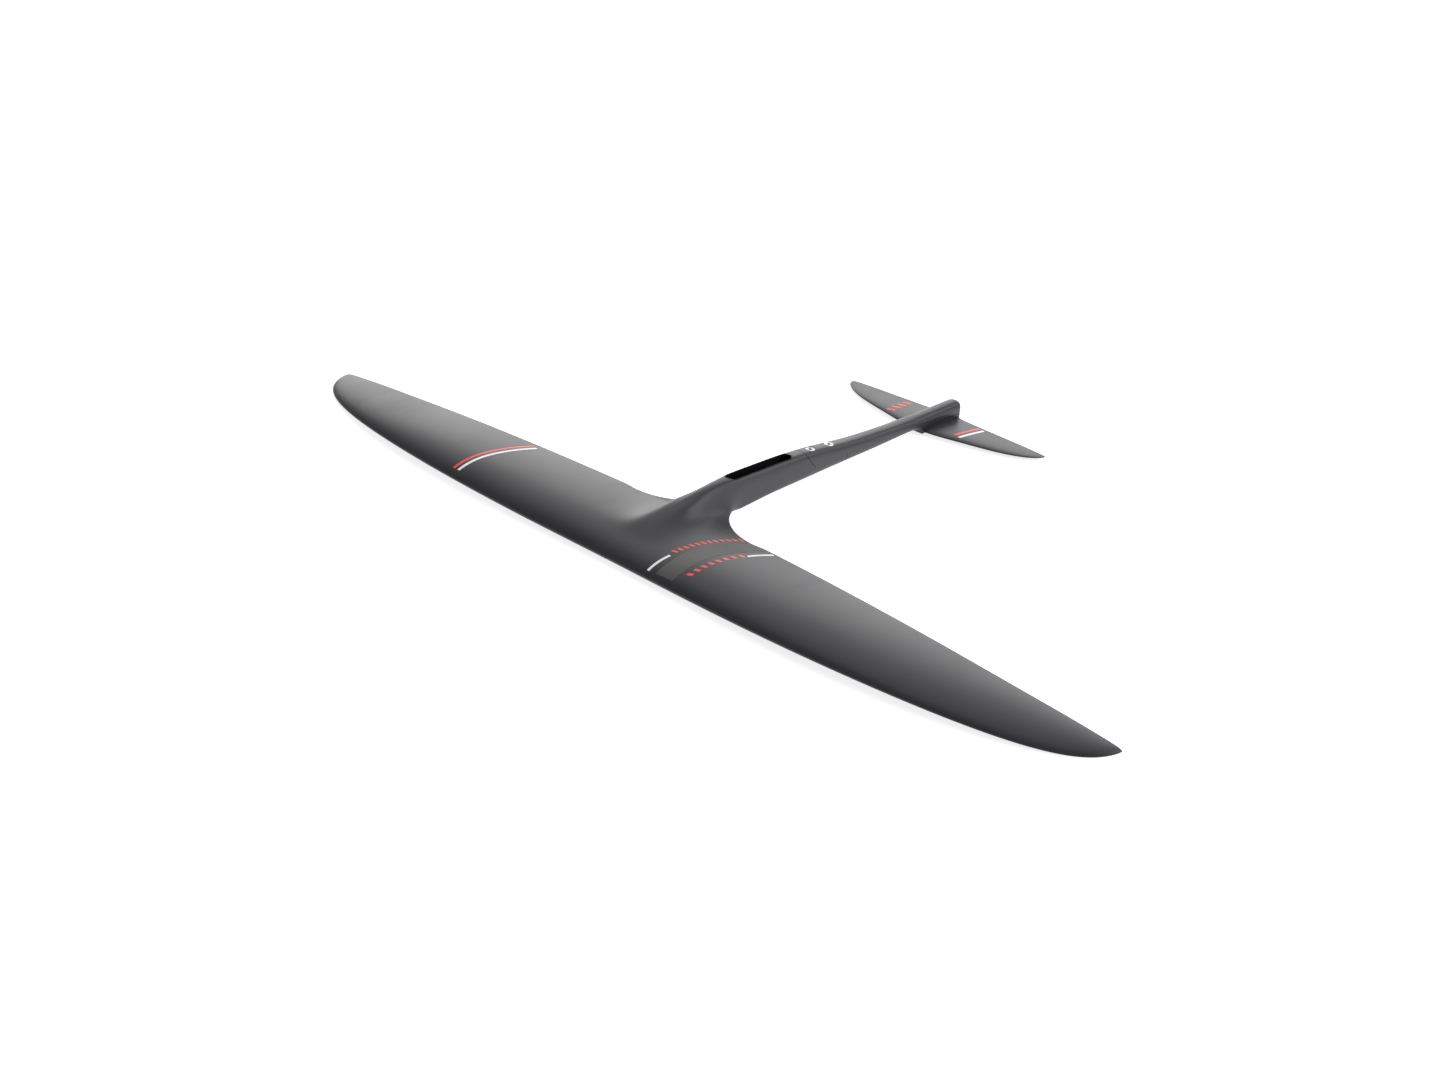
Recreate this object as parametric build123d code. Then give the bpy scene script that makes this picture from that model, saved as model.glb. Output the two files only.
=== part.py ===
from build123d import *
from math import cos, pi, sin, sqrt
import os

# A hydrofoil wing set: a front wing moulded in one with the front of the fuselage, a tail boom that is
# half-lapped and screwed on behind it, and a small stabiliser screwed under the boom's end.
# Everything is drawn from the leading edge at the root, which is (0, 0, 0): +X is the port side, +Y runs
# aft and +Z is up. Each node is then moved so that the row's origin is the centre of the mast bolts, on
# the floor of the mast pocket. Millimetres throughout.

# Front wing
wing_half_span = 606.5
# Share of the quarter turn that sets the station's distance out, then the leading edge's Y and Z and the
# trailing edge's Y and Z.
wing_stations = [
    (0.00, 0.0, 0.0, 139.5, 6.2),
    (0.13, -1.5, 0.8, 136.0, 6.8),
    (0.27, -1.3, 2.5, 127.0, 8.4),
    (0.42, 6.0, 2.7, 117.5, 8.0),
    (0.57, 22.3, -0.3, 112.0, 4.2),
    (0.70, 43.0, -4.0, 111.0, -0.4),
    (0.81, 65.3, -6.5, 110.5, -3.9),
    (0.90, 87.0, -7.4, 109.5, -5.8),
    (0.96, 101.5, -7.5, 107.8, -6.8),
]
wing_thickness = (0.135, 0.100)  # of the chord, at the root and at the tip
wing_camber = 0.030
wing_edge = 1.1  # the trailing edge's own thickness
wing_skin = 1.6
parting_shares = (0.0, 0.15, 0.35, 0.60, 0.80, 1.0)  # where the parting line bends, along the chord
core_chord = (0.10, 0.80)  # where the foam starts and stops, as shares of the chord
core_station_count = 6
core_inner_x = 40.0

# Carbon spar through the middle of the wing
spar_station_count = 5
spar_chord = 0.36
spar_width = 26.0
spar_height = (9.0, 5.0)

# Fuselage: Y, half width, top and bottom of each rounded section
fuselage_stations = [
    (28.0, 28.0, 12.0, 6.0),
    (60.0, 26.0, 23.0, 4.0),
    (95.0, 21.5, 30.5, 2.0),
    (130.0, 17.0, 35.5, 0.0),
    (165.0, 15.0, 37.8, -1.5),
    (200.0, 14.4, 38.4, -2.0),
    (243.0, 14.2, 37.0, -0.5),
    (297.0, 13.7, 35.0, 0.0),
    (345.0, 13.0, 31.0, 0.0),
    (400.0, 12.0, 24.6, 0.0),
    (456.0, 11.3, 20.4, 0.3),
    (514.0, 11.0, 17.8, 1.8),
    (560.0, 11.0, 17.2, 2.0),
    (622.0, 11.0, 16.6, 2.0),
]
section_corner = 0.62  # corner radius as a share of the smaller half size
tail_end_y = 622.0
root_fillet_centre = (95.0, 204.0)
root_fillet_size = (80.6, 69.0)
root_web_thickness = 1.8

# Mast pocket, and the two bolts that hold the mast
mast_y = 243.0
pocket_floor_z = 10.0
pocket_length = 106.0
pocket_width = 15.5
liner_wall = 1.2
mast_bolt_spacing = 60.0
mast_bolt_hole_radius = 4.2
mast_head_radius = 8.4
mast_ferrule = (9.0, 6.0)  # radius, and height of its top above the leading edge

# Half-lap between the front fuselage and the boom
lap_top_y = 315.0
lap_shoulder_y = 331.0
lap_z = 13.5
lap_end_y = (389.0, 395.0)  # tongue's end, at its top and at the bottom
lap_gap = 0.15

# M6 screws that hold the boom, and the inserts they run into
boom_screw_y = (334.0, 368.0)
boom_head_top = (31.1, 27.6)
boom_screw_tip = 3.6
m6 = {"shaft": 3.0, "head": 6.0, "head_height": 3.3, "hex": 4.0, "socket": 2.6}
tongue_insert = (4.6, 2.5)  # radius and lowest Z
boom_ferrule = (5.0, 3.0, 9.5)  # radius, and its lowest and highest points above the lap

# Boom core
boom_core_y = (404.0, 534.0)
boom_wall = 2.4

# Stabiliser
stabiliser_half_span = 157.7
stabiliser_stations = [
    (0.00, 539.4, -2.4, 607.0, -2.7),
    (0.25, 549.5, -2.6, 604.8, -2.9),
    (0.50, 563.5, -3.2, 603.4, -3.5),
    (0.72, 579.5, -3.9, 602.2, -4.1),
    (0.88, 591.5, -4.2, 601.2, -4.3),
    (0.96, 597.0, -4.3, 600.6, -4.4),
]
stabiliser_thickness = (0.100, 0.090)
stabiliser_camber = -0.012
stabiliser_edge = 0.8
stabiliser_skin = 1.2
stabiliser_core_chord = (0.16, 0.72)
stabiliser_core_x = 16.0
pad_half_width = 10.8
pad_front_y = 538.0
pad_end_y = 621.8
pad_z = (-5.4, 1.0)
shim_top = 2.0

# M5 screws that hold the stabiliser
stabiliser_screw_y = (560.0, 592.0)
m5 = {"shaft": 2.5, "head": 5.0, "head_height": 2.8, "hex": 3.0, "socket": 2.2}
stabiliser_screw_tip = 10.4
tail_insert = (4.0, 11.4)  # radius and highest Z
stabiliser_ferrule = (6.4, -1.6)  # radius and highest Z
running_gap = 0.06
seat_gap = 0.12


def half_thickness(share):
    """Half thickness of the section, for a thickness of one chord."""
    return 5 * (
        0.2969 * sqrt(share) - 0.126 * share - 0.3516 * share**2 + 0.2843 * share**3 - 0.1015 * share**4
    )


def camber_height(share, camber, crest=0.40):
    if share < crest:
        return camber / crest**2 * (2 * crest * share - share**2)
    return camber / (1 - crest) ** 2 * (1 - 2 * crest + 2 * crest * share - share**2)


def foil_point(station, foil, share, side, inset=0.0):
    """A point on a station's section: side is +1 for the top, -1 for the bottom, 0 for the mean line."""
    turn, lead_y, lead_z, trail_y, trail_z = station
    chord = trail_y - lead_y
    ratio = foil["thickness"][0] + (foil["thickness"][1] - foil["thickness"][0]) * turn
    half = chord * ratio * half_thickness(share) + foil["edge"] / 2 * share - inset
    rise = lead_z + share * (trail_z - lead_z) + chord * camber_height(share, foil["camber"])
    return Vector(foil["half_span"] * sin(turn * pi / 2), lead_y + share * chord, rise + side * half)


def section_shares(first, last, count):
    """Shares of the chord, closer together towards the leading edge."""
    return [first + (last - first) * (1 - cos(pi / 2 * i / count)) for i in range(count + 1)]


def mirrored_stations(stations, count):
    """Stations from the starboard side to the port side, each with the sign of its X."""
    used = stations[:count]
    return [(-1, s) for s in reversed(used[1:])] + [(1, s) for s in used]


def place(point, hand):
    return Vector(point.X * hand, point.Y, point.Z)


def foil_body(stations, foil):
    """The whole wing from tip to tip."""
    shares = section_shares(0, 1, 9)
    faces = []
    for hand, station in mirrored_stations(stations, len(stations)):
        top = [place(foil_point(station, foil, share, 1), hand) for share in reversed(shares)]
        bottom = [place(foil_point(station, foil, share, -1), hand) for share in shares[1:]]
        outline = [Spline(*top, *bottom), Line(bottom[-1], top[0])]
        faces.append(Face(Wire(outline)))
    return Solid.make_loft([face.outer_wire() for face in faces])


def foil_core(stations, foil, chord, count, skin, inner_x, hand):
    """The foam of one side, a skin's thickness inside the wing."""
    shares = section_shares(chord[0], chord[1], 6)
    wires = []
    for station in stations[:count]:
        moved = list(station)
        top = [place(foil_point(moved, foil, share, 1, skin), hand) for share in shares]
        bottom = [place(foil_point(moved, foil, share, -1, skin), hand) for share in reversed(shares)]
        wires.append(
            Wire([Spline(*top), Line(top[-1], bottom[0]), Spline(*bottom), Line(bottom[-1], top[0])])
        )
    core = Solid.make_loft(wires)
    side_room = Box(2000, 2000, 400).moved(Location((hand * (1000 + inner_x), 0, 0)))
    return core & side_room


def above_mean_line(stations, foil, reach=25.0, height=60.0):
    """The space over the wing's parting line, which follows the mean line of every section."""
    wires = []
    for hand, station in mirrored_stations(stations, len(stations)):
        middle = [place(foil_point(station, foil, share, 0), hand) for share in parting_shares]
        fore = middle[0] - Vector(0, reach, 0)
        aft = middle[-1] + Vector(0, reach, 0)
        lift = Vector(0, 0, height)
        wires.append(Wire.make_polygon([fore, *middle, aft, aft + lift, fore + lift], close=True))
    return Solid.make_loft(wires, ruled=True)


def rounded_section(y, half_width, top, bottom):
    half_height = (top - bottom) / 2
    plane = Plane(origin=(0, y, 0), x_dir=(1, 0, 0), z_dir=(0, -1, 0))
    corner = section_corner * min(half_width, half_height)
    shape = RectangleRounded(2 * half_width, 2 * half_height, corner)
    return plane * Pos(0, (top + bottom) / 2) * shape


def lofted_sections(stations):
    return Solid.make_loft([rounded_section(*s).face().outer_wire() for s in stations])


def plan_slot(length, width, y, low, high):
    """An upright body with straight sides along Y and round ends."""
    return extrude(Pos(0, y, low) * Rot(0, 0, 90) * SlotOverall(length, width), amount=high - low)


def upright(radius, y, low, high):
    return Pos(0, y, (low + high) / 2) * Cylinder(radius, high - low)


def upright_cone(low_radius, high_radius, y, low, high):
    return Pos(0, y, (low + high) / 2) * Cone(low_radius, high_radius, high - low)


def hex_socket(width, y, low, high):
    return extrude(Pos(0, y, low) * RegularPolygon(width / sqrt(3), 6), amount=high - low)


def plan_box(x_range, y_range, z_range):
    size = [r[1] - r[0] for r in (x_range, y_range, z_range)]
    middle = [(r[1] + r[0]) / 2 for r in (x_range, y_range, z_range)]
    return Pos(*middle) * Box(*size)


def fuselage_body():
    """The whole fuselage, nose to tail, with its end rounded in plan."""
    body = lofted_sections(fuselage_stations)
    half = fuselage_stations[-1][1]
    start_y = fuselage_stations[0][0]
    plan = plan_slot(2 * (tail_end_y - start_y), 2 * half, start_y, -50, 80)
    fore = plan_box((-60, 60), (0, tail_end_y - 60), (-50, 80))
    return body & (plan + fore)


def lap_tool(shift):
    """Everything ahead of and under the half-lap, in side view."""
    shoulder = (lap_shoulder_y + shift, lap_z)
    heel = (lap_end_y[0] + shift, lap_z)
    toe = (lap_end_y[1] + shift, -20)
    top = (lap_top_y + shift, 60)
    bend = (lap_top_y + 4 + shift, 26)
    outline = [
        Spline((0, top[0], top[1]), (0, bend[0], bend[1]), (0, *shoulder)),
        Line((0, *shoulder), (0, *heel)),
        Line((0, *heel), (0, *toe)),
        Line((0, *toe), (0, -60, -20)),
        Line((0, -60, -20), (0, -60, 60)),
        Line((0, -60, 60), (0, *top)),
    ]
    return Pos(-50, 0, 0) * extrude(Face(Wire(outline)), amount=100, dir=(1, 0, 0))


def root_webs(wing):
    """The thin fillets that carry the trailing edge round into the fuselage sides."""
    centre_x, centre_y = root_fillet_centre
    size_x, size_y = root_fillet_size
    middle_z = wing_stations[0][4]
    inner = (centre_x - size_x, centre_y)
    outer = (centre_x, centre_y - size_y)
    start_y = 128.0
    webs = []
    for hand in (-1, 1):
        arc = [
            (hand * (centre_x - size_x * cos(turn)), centre_y - size_y * sin(turn), middle_z)
            for turn in (pi / 2 * i / 6 for i in range(7))
        ]
        outline = [
            Spline(*arc),
            Line((hand * outer[0], outer[1], middle_z), (hand * outer[0], start_y, middle_z)),
            Line((hand * outer[0], start_y, middle_z), (0, start_y, middle_z)),
            Line((0, start_y, middle_z), (0, inner[1], middle_z)),
            Line((0, inner[1], middle_z), (hand * inner[0], inner[1], middle_z)),
        ]
        face = Face(Wire(outline))
        web = extrude(face, amount=root_web_thickness / 2, dir=(0, 0, 1), both=True)
        webs.append(web - wing)
    return webs


def countersunk_screw(size, y, head_top, tip, up=1):
    """A countersunk screw with a hex socket; up is -1 when its head faces down."""
    neck = head_top - up * size["head_height"]
    low, high = sorted((tip, neck))
    body = upright(size["shaft"], y, low, high)
    radii = (size["shaft"], size["head"]) if up > 0 else (size["head"], size["shaft"])
    body += upright_cone(*radii, y, *sorted((neck, head_top)))
    floor = head_top - up * size["socket"]
    return body - hex_socket(size["hex"], y, *sorted((floor, head_top + up * 0.01)))


def screw_hole(size, y, head_top, far, up=1):
    """The clearance hole and seat for that screw."""
    neck = head_top - up * size["head_height"]
    shaft = size["shaft"] + 0.3
    head = size["head"] + seat_gap
    body = upright(shaft, y, *sorted((far, neck)))
    radii = (shaft, head) if up > 0 else (head, shaft)
    body += upright_cone(*radii, y, *sorted((neck - up * seat_gap, head_top)))
    return body + upright(head, y, *sorted((head_top, head_top + up * 12)))


wing_foil = {
    "half_span": wing_half_span,
    "thickness": wing_thickness,
    "camber": wing_camber,
    "edge": wing_edge,
}
stabiliser_foil = {
    "half_span": stabiliser_half_span,
    "thickness": stabiliser_thickness,
    "camber": stabiliser_camber,
    "edge": stabiliser_edge,
}
nodes = {}


def make_wing():
    wing = foil_body(wing_stations, wing_foil)
    above = above_mean_line(wing_stations, wing_foil)
    spar_sections = []
    for hand, station in mirrored_stations(wing_stations, spar_station_count):
        share = station[0] / wing_stations[spar_station_count - 1][0]
        height = spar_height[0] + (spar_height[1] - spar_height[0]) * share
        centre = place(foil_point(station, wing_foil, spar_chord, 0), hand)
        plane = Plane(origin=tuple(centre), x_dir=(0, 1, 0), z_dir=(1, 0, 0))
        spar_sections.append((plane * Rectangle(spar_width, height)).face().outer_wire())
    spar = Solid.make_loft(spar_sections)
    inside = spar
    for hand, side in ((1, "port"), (-1, "starboard")):
        core = foil_core(
            wing_stations, wing_foil, core_chord, core_station_count, wing_skin, core_inner_x, hand
        )
        inside = inside + core
        nodes[side + "_wing_core"] = core - spar
    nodes["wing_spar"] = spar
    nodes["wing_upper_skin"] = (wing & above) - inside
    nodes["wing_lower_skin"] = (wing - above) - inside
    return wing


def make_front_fuselage(wing, fuselage):
    front = fuselage & lap_tool(0)
    front = front - wing
    for web in root_webs(wing):
        front = front + (web - fuselage)
    wall = 2 * liner_wall
    pocket = plan_slot(pocket_length, pocket_width, mast_y, pocket_floor_z, 80)
    liner = plan_slot(pocket_length + wall, pocket_width + wall, mast_y, pocket_floor_z - liner_wall, 80)
    liner = (liner & fuselage) - pocket
    front = front - plan_slot(
        pocket_length + wall, pocket_width + wall, mast_y, pocket_floor_z - liner_wall, 80
    )
    ferrules = []
    for side in (-1, 1):
        y = mast_y + side * mast_bolt_spacing / 2
        hole = upright(mast_bolt_hole_radius, y, -30, 40)
        low = -0.6
        cone_height = mast_head_radius - mast_bolt_hole_radius
        seat = upright_cone(mast_head_radius, mast_bolt_hole_radius, y, low, low + cone_height)
        seat = seat + upright(mast_head_radius, y, -30, low)
        blank = upright(mast_ferrule[0], y, -30, mast_ferrule[1])
        ferrules.append((blank & fuselage) - hole - seat)
        front = front - blank - hole
        liner = liner - hole
    inserts = []
    for y in boom_screw_y:
        blank = upright(tongue_insert[0], y, tongue_insert[1], lap_z)
        inserts.append(blank - upright(m6["shaft"] + running_gap, y, tongue_insert[1] - 1, lap_z + 1))
        front = front - blank
    nodes["front_fuselage"] = front
    nodes["mast_pocket_liner"] = liner
    nodes["mast_bolt_ferrules"] = ferrules
    nodes["tongue_inserts"] = inserts


def make_boom(fuselage):
    boom = fuselage - lap_tool(lap_gap) - plan_box((-60, 60), (0, lap_top_y - 1), (-50, 80))
    boom = boom - plan_box((-60, 60), (pad_front_y - 2, tail_end_y + 5), (-20, shim_top))
    core_stations = []
    for y, half_width, top, bottom in fuselage_stations:
        if boom_core_y[0] - 60 < y < boom_core_y[1] + 40:
            core_stations.append((y, half_width - boom_wall, top - boom_wall, bottom + boom_wall))
    core = lofted_sections(core_stations) & plan_box((-60, 60), boom_core_y, (-50, 80))
    boom = boom - core
    ferrules = []
    for y, head_top in zip(boom_screw_y, boom_head_top):
        hole = screw_hole(m6, y, head_top, lap_z - 2)
        blank = upright(boom_ferrule[0], y, lap_z + boom_ferrule[1], lap_z + boom_ferrule[2])
        boom = boom - hole - blank
        ferrules.append(blank - hole)
    inserts = []
    for y in stabiliser_screw_y:
        blank = upright(tail_insert[0], y, shim_top, tail_insert[1])
        boom = boom - blank
        inserts.append(blank - upright(m5["shaft"] + running_gap, y, shim_top - 1, tail_insert[1] + 1))
    nodes["boom_shell"] = boom
    nodes["boom_core"] = core
    nodes["boom_ferrules"] = ferrules
    nodes["tail_inserts"] = inserts
    nodes["front_boom_screw"] = countersunk_screw(m6, boom_screw_y[0], boom_head_top[0], boom_screw_tip)
    nodes["rear_boom_screw"] = countersunk_screw(m6, boom_screw_y[1], boom_head_top[1], boom_screw_tip)


def tail_pad(low, high, half_width):
    """The flat landing under the boom's end, square in front and round behind."""
    radius_y = pad_end_y - half_width
    front = plan_box((-half_width, half_width), (pad_front_y, radius_y), (low, high))
    return front + upright(half_width, radius_y, low, high)


def make_stabiliser():
    wing = foil_body(stabiliser_stations, stabiliser_foil)
    body = wing + tail_pad(pad_z[0], pad_z[1], pad_half_width)
    body = body - plan_box((-60, 60), (pad_front_y - 2, tail_end_y + 5), (pad_z[1], 30))
    body = body - plan_box((-60, 60), (pad_front_y - 2, tail_end_y + 5), (-30, pad_z[0]))
    above = above_mean_line(stabiliser_stations, stabiliser_foil)
    holes = []
    blanks = []
    ferrules = []
    for y in stabiliser_screw_y:
        hole = screw_hole(m5, y, pad_z[0] + 0.1, shim_top + 2, up=-1)
        blank = upright(stabiliser_ferrule[0], y, pad_z[0], stabiliser_ferrule[1])
        holes.append(hole)
        blanks.append(blank)
        ferrules.append(blank - hole)
    for hand, side in ((1, "port"), (-1, "starboard")):
        core = foil_core(
            stabiliser_stations,
            stabiliser_foil,
            stabiliser_core_chord,
            4,
            stabiliser_skin,
            stabiliser_core_x,
            hand,
        )
        nodes[side + "_stabiliser_core"] = core
        body = body - core
    for tool in holes + blanks:
        body = body - tool
    nodes["stabiliser_upper_skin"] = body & above
    nodes["stabiliser_lower_skin"] = body - above
    nodes["stabiliser_ferrules"] = ferrules
    shim = tail_pad(pad_z[1], shim_top, pad_half_width - 0.3)
    for hole in holes:
        shim = shim - hole
    nodes["tail_shim"] = shim
    for name, y in zip(("front", "rear"), stabiliser_screw_y):
        nodes[name + "_stabiliser_screw"] = countersunk_screw(
            m5, y, pad_z[0] + 0.1, stabiliser_screw_tip, up=-1
        )


def write_nodes():
    os.makedirs("parts", exist_ok=True)
    for name, shape in nodes.items():
        solids = []
        for piece in shape if isinstance(shape, list) else [shape]:
            solids.extend(piece.solids())
        group = Compound(children=solids)
        moved = group.moved(Location((0, -mast_y, -pocket_floor_z)))
        export_step(moved, "parts/" + name + ".step")
        print(name, len(solids), round(sum(s.volume for s in solids)))


wing_body = make_wing()
whole_fuselage = fuselage_body()
make_front_fuselage(wing_body, whole_fuselage)
make_boom(whole_fuselage)
make_stabiliser()
write_nodes()
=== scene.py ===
# A hydrofoil wing set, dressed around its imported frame.
from math import asin, copysign, cos, hypot, pi, radians, sin, sqrt

import bmesh
import bpy
import numpy as np
from mathutils import Matrix, Vector


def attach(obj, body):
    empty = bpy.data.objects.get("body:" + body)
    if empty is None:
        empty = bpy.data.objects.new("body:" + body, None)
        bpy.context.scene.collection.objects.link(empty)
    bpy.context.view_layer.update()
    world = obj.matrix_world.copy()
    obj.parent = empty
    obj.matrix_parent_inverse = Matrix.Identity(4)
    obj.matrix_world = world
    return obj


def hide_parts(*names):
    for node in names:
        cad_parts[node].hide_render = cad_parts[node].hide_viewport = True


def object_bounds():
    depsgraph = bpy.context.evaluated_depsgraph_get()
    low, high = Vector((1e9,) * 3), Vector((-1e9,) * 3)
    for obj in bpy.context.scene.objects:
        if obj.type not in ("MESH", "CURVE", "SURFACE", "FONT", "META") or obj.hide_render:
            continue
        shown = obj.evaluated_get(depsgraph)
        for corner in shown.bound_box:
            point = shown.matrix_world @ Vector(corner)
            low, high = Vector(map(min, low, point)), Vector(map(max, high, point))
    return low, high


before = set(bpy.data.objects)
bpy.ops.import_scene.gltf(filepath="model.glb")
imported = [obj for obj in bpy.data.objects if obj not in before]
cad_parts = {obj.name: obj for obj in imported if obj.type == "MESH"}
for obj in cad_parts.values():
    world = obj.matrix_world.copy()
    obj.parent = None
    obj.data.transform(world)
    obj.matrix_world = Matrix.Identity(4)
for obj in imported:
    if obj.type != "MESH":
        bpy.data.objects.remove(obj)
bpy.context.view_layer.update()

# Shapes are worked out in millimetres from the leading edge at the root: X to port, Y aft, Z up.
# The frame's origin is on the floor of the mast pocket, between the two mast bolts.
mm = 0.001
mastPlace = {"y": 243.0, "z": 10.0}


def toFrame(x, y, z):
    return Vector((x * mm, (y - mastPlace["y"]) * mm, (z - mastPlace["z"]) * mm))


# Smooth rows of values, for outlines that follow a few stations
def smoothRow(knots, values, flatStart=False):
    knots, values = np.array(knots, float), np.array(values, float)
    count = len(knots)
    steps = np.diff(knots)
    slopes = np.diff(values) / steps
    matrix, right = np.zeros((count, count)), np.zeros(count)
    for i in range(1, count - 1):
        matrix[i, i - 1 : i + 2] = steps[i - 1], 2 * (steps[i - 1] + steps[i]), steps[i]
        right[i] = 6 * (slopes[i] - slopes[i - 1])
    if flatStart:
        matrix[0, 0], matrix[0, 1], right[0] = 2 * steps[0], steps[0], 6 * slopes[0]
    else:
        matrix[0, 0] = 1
    matrix[-1, -1] = 1
    bends = np.linalg.solve(matrix, right).tolist()
    knots, values, steps = knots.tolist(), values.tolist(), steps.tolist()

    def valueAt(place):
        place = min(max(place, knots[0]), knots[-1])
        i = 0
        while i < count - 2 and place > knots[i + 1]:
            i += 1
        ahead, behind, step = knots[i + 1] - place, place - knots[i], steps[i]
        curve = (bends[i] * ahead**3 + bends[i + 1] * behind**3) / (6 * step)
        straight = (values[i] / step - bends[i] * step / 6) * ahead
        return curve + straight + (values[i + 1] / step - bends[i + 1] * step / 6) * behind

    return valueAt


def easeInOut(share):
    share = min(max(share, 0.0), 1.0)
    return share * share * (3 - 2 * share)


def easeBetween(value, low, high):
    return easeInOut((value - low) / (high - low))


def mix(a, b, share):
    return a + (b - a) * share


# Foil sections
def halfThickness(share):
    return 5 * (
        0.2969 * sqrt(share) - 0.126 * share - 0.3516 * share**2 + 0.2843 * share**3 - 0.1015 * share**4
    )


def camberHeight(share, camber, crest=0.4):
    if share < crest:
        return camber / crest**2 * (2 * crest * share - share**2)
    return camber / (1 - crest) ** 2 * (1 - 2 * crest + 2 * crest * share - share**2)


frontWing = {
    "halfSpan": 606.3,
    "stations": [0.0, 0.13, 0.27, 0.42, 0.57, 0.70, 0.81, 0.90, 0.96, 1.0],
    "leadY": [0.0, -1.5, -1.3, 6.0, 22.3, 43.0, 65.3, 87.0, 101.5, 108.5],
    "leadZ": [0.0, 0.8, 2.5, 2.7, -0.3, -4.0, -6.5, -7.4, -7.5, -7.3],
    "trailY": [139.5, 136.0, 127.0, 117.5, 112.0, 111.0, 110.5, 109.8, 109.0, 108.5],
    "trailZ": [6.2, 6.8, 8.4, 8.0, 4.2, -0.4, -3.9, -5.8, -6.8, -7.3],
    "thickness": (0.135, 0.100),
    "camber": 0.030,
    "edge": 1.1,
    "rootSweep": (0.0, 1.0),
}
tailWing = {
    "halfSpan": 157.5,
    "stations": [0.0, 0.25, 0.50, 0.72, 0.88, 0.96, 1.0],
    "leadY": [539.4, 549.5, 563.5, 579.5, 591.5, 597.0, 599.6],
    "leadZ": [-2.4, -2.6, -3.2, -3.9, -4.2, -4.3, -4.3],
    "trailY": [607.0, 604.8, 603.4, 602.2, 601.2, 600.4, 599.6],
    "trailZ": [-2.7, -2.9, -3.5, -4.1, -4.3, -4.4, -4.3],
    "thickness": (0.100, 0.090),
    "camber": -0.012,
    "edge": 0.8,
    "rootSweep": (12.0, 26.0),  # how far the trailing edge runs back into the pad, and over what width
}
for foil in (frontWing, tailWing):
    for name in ("leadY", "leadZ", "trailY", "trailZ"):
        foil[name + "At"] = smoothRow(foil["stations"], foil[name], flatStart=True)


def foilStation(foil, x):
    turn = asin(min(abs(x) / foil["halfSpan"], 1.0)) / (pi / 2)
    leadY, trailY = foil["leadYAt"](turn), foil["trailYAt"](turn)
    depth, reach = foil["rootSweep"]
    trailY += depth * max(0.0, 1 - abs(x) / reach) ** 2
    return turn, leadY, foil["leadZAt"](turn), trailY, foil["trailZAt"](turn)


shortChord = 20.0  # where the chord is shorter than this, the blunt trailing edge thins with it


def foilHeight(foil, x, y, side):
    # Height of the wing's top (side 1) or underside (side -1), flat past the trailing edge
    turn, leadY, leadZ, trailY, trailZ = foilStation(foil, x)
    chord = max(trailY - leadY, 0.001)
    share = min(max((y - leadY) / chord, 0.0), 1.0)
    ratio = mix(foil["thickness"][0], foil["thickness"][1], turn)
    half = chord * ratio * halfThickness(share) + foil["edge"] / 2 * share * min(1.0, chord / shortChord)
    return mix(leadZ, trailZ, share) + chord * camberHeight(share, foil["camber"]) + side * half


# Fuselage: half width, crest and keel along its length
fuselage = {
    "y": [20, 45, 70, 100, 130, 165, 200, 243, 297, 345, 400, 456, 514, 560, 622],
    "half": [36, 33, 29.5, 25, 20.5, 16.6, 14.6, 14.2, 13.7, 13.0, 12.0, 11.3, 11.0, 11.0, 11.0],
    "top": [6.0, 16.5, 23.5, 30.0, 34.6, 37.6, 38.3, 37.0, 35.0, 31.0, 24.6, 20.4, 17.8, 17.2, 16.6],
    "keelY": [90, 120, 150, 180, 200, 243, 297, 400, 456, 514, 560, 622],
    "keel": [3.5, 2.2, 0.2, -1.5, -2.0, -0.5, 0.0, 0.0, 0.3, 1.8, 2.0, 2.0],
    "boxyY": [130, 190, 300, 345, 420, 622],
    "boxy": [2.9, 3.6, 3.6, 3.2, 2.8, 2.8],
    "waistY": [204, 240, 300, 622],
    "waist": [0.20, 0.32, 0.43, 0.44],  # how far up the widest line of each section lies
}
halfAt = smoothRow(fuselage["y"], fuselage["half"])
topAt = smoothRow(fuselage["y"], fuselage["top"])
keelAt = smoothRow(fuselage["keelY"], fuselage["keel"])
boxyAt = smoothRow(fuselage["boxyY"], fuselage["boxy"])
waistAt = smoothRow(fuselage["waistY"], fuselage["waist"])


def softPositive(value, soft=1.5):
    # The value where it is positive, easing to nothing below zero
    return soft * np.logaddexp(0.0, value / soft) if value < 40 * soft else value


# The moulding: front wing, hump, root fillets and front fuselage in one skin
moulding = {
    "fanX": 112.0,
    "filletCentre": (95.0, 204.0),
    "filletSize": (80.4, 68.3),
    "fanTurn": 0.36,  # the share of the fan whose lines start on the leading edge
    "flatTurn": 0.13,  # the share of the outline between the fan's start and the fillet
    "spineTurn": 0.62,  # where the fan's sections begin to turn into body sections
    "waistTurn": 0.45,  # where the outline begins to rise to the body's waist
    "humpY": (20.0, 200.0),
    "crestY": (10.0, 40.0),  # over these lengths the hump and the keel come up out of the wing
    "keelY": (84.0, 124.0),
    "keelSoft": 0.8,
    "spanLines": 84,
    "fanLines": 84,
    "bodyLines": 46,
    "endY": 405.0,
    "chordLines": 44,
    "flare": 3.5,
}


def humpShape(x, y):
    low, high = moulding["humpY"]
    ratio = abs(x) / halfAt(min(max(y, low), high))
    fade = max(0.0, 1 - (abs(x) / moulding["fanX"]) ** 2) ** 2
    return fade / (1 + ratio ** moulding["flare"])


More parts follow.
